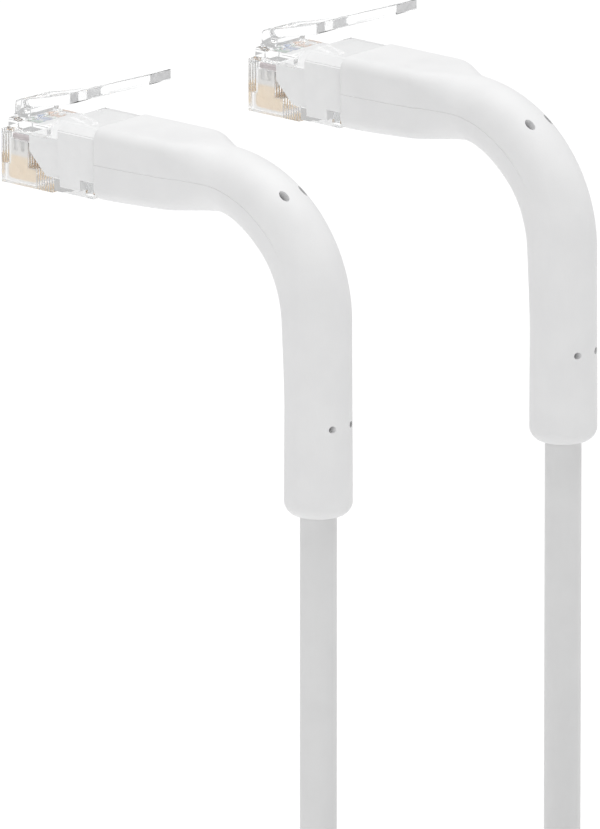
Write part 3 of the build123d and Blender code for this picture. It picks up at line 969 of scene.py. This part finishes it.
def make_latch(end):
    """The clear latch: root block, recessed plate with its two shoulders, and the thumb lever."""
    y = ENDS[end]
    latch = side_slab(f"plug_{end}_latch_spring", latch_outline(), y, LATCH_WIDTH / 2, CLEAR)
    rise = (TIP_TOP - SHOULDER_TOP) / (TIP_X - SHOULDER_X)
    start_z = SHOULDER_TOP - (SHOULDER_X - LEVER_START) * LEVER_START_SLOPE
    lever = side_slab("lever", [
        (LEVER_START, start_z - LEVER_THICKNESS), (LEVER_START, start_z),
        (SHOULDER_X, SHOULDER_TOP), (TIP_X, TIP_TOP),
        (TIP_X, TIP_TOP - LEVER_THICKNESS - 0.05),
        (SHOULDER_X, SHOULDER_TOP - LEVER_THICKNESS - 0.1 * rise),
    ], y, lever_half_width, CLEAR)
    combine(latch, [lever], "UNION")
    recess = side_slab("recess", [
        (2.3, UNDERSIDE + 11.15), (8.6, UNDERSIDE + 12.8),
        (8.6, UNDERSIDE + 14), (2.3, UNDERSIDE + 12.5),
    ], y, RECESS_HALF_WIDTH, CLEAR)
    combine(latch, [recess])
    soften(latch, LATCH_EDGE)
    latch.data.materials.append(FROSTED)
    rear_faces = [
        face for face in latch.data.polygons
        if face.normal.x > 0.97 and face.center.x > (SHOULDER_X - 0.1) * MM
    ]
    for face in rear_faces:
        face.material_index = 1
    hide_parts(f"plug_{end}_latch")
    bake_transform(latch)


SEAT_GAP = 0.04


def seat(node):
    """Lets a white piece touch the clear wall round it, so that no air shows between them."""
    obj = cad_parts[node]
    weld = obj.modifiers.new("weld", "WELD")
    weld.merge_threshold = 0.001 * MM
    swell = obj.modifiers.new("seat", "DISPLACE")
    swell.strength = SEAT_GAP * MM
    swell.mid_level = 0.0


def frost_slots(end):
    """Gives the walls of the contact slots and the wire channel their satin finish."""
    obj = paint(f"plug_{end}_housing", CLEAR)
    obj.data.materials.append(SATIN)
    y = ENDS[end]
    for face in obj.data.polygons:
        x = face.center.x / MM
        side = abs(face.center.y / MM - y)
        height = face.center.z / MM - UNDERSIDE
        inside = 0.05 < x < 5.8 and side < 4.1 and 0.1 < height < 6.4
        if inside and abs(face.normal.y) > 0.9:
            face.material_index = 1


def make_plug(end):
    """Every piece of one plug: the clear shell, what it holds and the latch."""
    frost_slots(end)
    make_latch(end)
    paint(f"plug_{end}_strain_bar", CLEAR)
    paint(f"plug_{end}_contacts", GOLD)
    paint(f"plug_{end}_wire_guide", WHITE)
    paint(f"plug_{end}_inner_mould", WHITE)
    seat(f"plug_{end}_inner_mould")
    seat(f"plug_{end}_wire_guide")
    paint_conductors(end)


for letter in ENDS:
    make_boot(letter)
    make_inner_pieces(letter)
    make_plug(letter)


# ---------------------------------------------------------------- strap round the coil

TIE_HALF_WIDTH = 6.9
TIE_THICKNESS = 0.85
TIE_GAP = 0.08
TIE_TURNS = 1.32
TIE_START = 15.0                    # degrees round the bundle, from its outer side towards its top
TIE_END_LENGTH = 4.0
TIE_STEPS = 150
TIE_ACROSS = (-1.0, -0.97, -0.9, -0.6, -0.3, 0.0, 0.3, 0.6, 0.9, 0.97, 1.0)
TIE_OVERLAP_GAP = 0.1               # between the strap's first turn and the flap that lies on it
TIE_OVERLAP = (0.9, 1.03)           # turns over which the flap climbs onto the first turn
TIE_END_TAPER = 0.3                 # share of its width that the strap loses at its rounded ends
TIE_EDGE_THINNING = 0.45


def tie_point(turn, across, lift):
    """A point of the strap: turns round the bundle, place across the strap, height over its inner face."""
    middle_radius = (COIL_INNER_TURN + COIL_OUTER_TURN) / 2
    middle_z = (LOWER_LAYER_Z + UPPER_LAYER_Z) / 2
    angle = math.radians(TIE_START) + turn * 2 * math.pi
    half = CABLE_DIAMETER + TIE_GAP
    over = ramp(turn, *TIE_OVERLAP) * (TIE_THICKNESS + TIE_OVERLAP_GAP)
    wave = 0.06 * math.sin(9 * angle + 3 * across) + 0.05 * math.sin(5 * angle - 4 * across)
    reach = rounded_reach(angle, half, half, CABLE_DIAMETER / 2) + over + lift + wave
    length = turn * 2 * math.pi * half
    from_end = min(length, TIE_TURNS * 2 * math.pi * half - length)
    rounding = max(1 - from_end / TIE_END_LENGTH, 0.0)
    side = across * TIE_HALF_WIDTH * (1 - TIE_END_TAPER * rounding ** 2)
    radius = middle_radius + reach * math.cos(angle)
    bearing = side / middle_radius
    return (
        COIL_CENTRE[0] + radius * math.cos(bearing),
        COIL_CENTRE[1] + radius * math.sin(bearing),
        middle_z + reach * math.sin(angle),
    )


def make_tie():
    """The hook-and-loop strap, wound once and a third round the bundle of turns."""
    rings = []
    for step in range(TIE_STEPS + 1):
        turn = TIE_TURNS * step / TIE_STEPS
        outer = []
        for across in TIE_ACROSS:
            thickness = TIE_THICKNESS * (1 - TIE_EDGE_THINNING * abs(across) ** 10)
            outer.append(tie_point(turn, across, thickness))
        inner = [tie_point(turn, across, 0.0) for across in reversed(TIE_ACROSS)]
        rings.append(outer + inner)
    vertices, faces = capped_loft(rings)
    strap = make_object("coil_strap", vertices, faces, TIE)
    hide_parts("coil_tie")
    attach(strap, "cable")
    return strap


tie = make_tie()


# ---------------------------------------------------------------- floor and light

FLOOR_REACH = 40.0                  # metres each way
FLOOR_GAP = 0.2
WORLD_STRENGTH = 0.52


def make_floor():
    """A wide pale floor under the coil."""
    data = bpy.data.meshes.new("floor")
    z = (FLOOR_Z - FLOOR_GAP) * MM
    reach = FLOOR_REACH
    corners = [(-reach, -reach, z), (reach, -reach, z), (reach, reach, z), (-reach, reach, z)]
    data.from_pydata(corners, [], [(0, 1, 2, 3)])
    floor = bpy.data.objects.new("floor", data)
    bpy.context.scene.collection.objects.link(floor)
    material, _, shader = new_material("floor_paint")
    shader.inputs["Base Color"].default_value = (0.93, 0.93, 0.93, 1)
    shader.inputs["Roughness"].default_value = 0.9
    shader.inputs["Specular IOR Level"].default_value = 0.1
    data.materials.append(material)


def make_world(strength):
    """A white surround: full white to the camera, and dimmer as a light."""
    world = bpy.data.worlds.new("world")
    world.use_nodes = True
    background = world.node_tree.nodes["Background"]
    background.inputs["Color"].default_value = (1, 1, 1, 1)
    path = world.node_tree.nodes.new("ShaderNodeLightPath")
    level = world.node_tree.nodes.new("ShaderNodeMapRange")
    level.inputs["To Min"].default_value = strength
    level.inputs["To Max"].default_value = 1.0
    world.node_tree.links.new(path.outputs["Is Camera Ray"], level.inputs["Value"])
    world.node_tree.links.new(level.outputs["Result"], background.inputs["Strength"])
    bpy.context.scene.world = world


def make_sun(name, towards, strength, angle):
    """Light from a wide soft box far off, in the direction given from the object."""
    data = bpy.data.lights.new(name, "SUN")
    data.energy = strength
    data.angle = math.radians(angle)
    sun = bpy.data.objects.new(name, data)
    bpy.context.scene.collection.objects.link(sun)
    sun.rotation_mode = "QUATERNION"
    sun.rotation_quaternion = Vector(towards).to_track_quat("Z", "Y")


make_floor()
make_world(WORLD_STRENGTH)
make_sun("overhead", (0.0, 0.12, 1.0), 1.9, 60)
make_sun("front", (0.3, -0.8, 0.5), 0.3, 30)

scene = bpy.context.scene
scene.view_settings.view_transform = "Standard"
scene.view_settings.look = "None"
scene.cycles.max_bounces = 40
scene.cycles.transmission_bounces = 40
scene.cycles.transparent_max_bounces = 40
scene.cycles.glossy_bounces = 16
scene.cycles.diffuse_bounces = 8
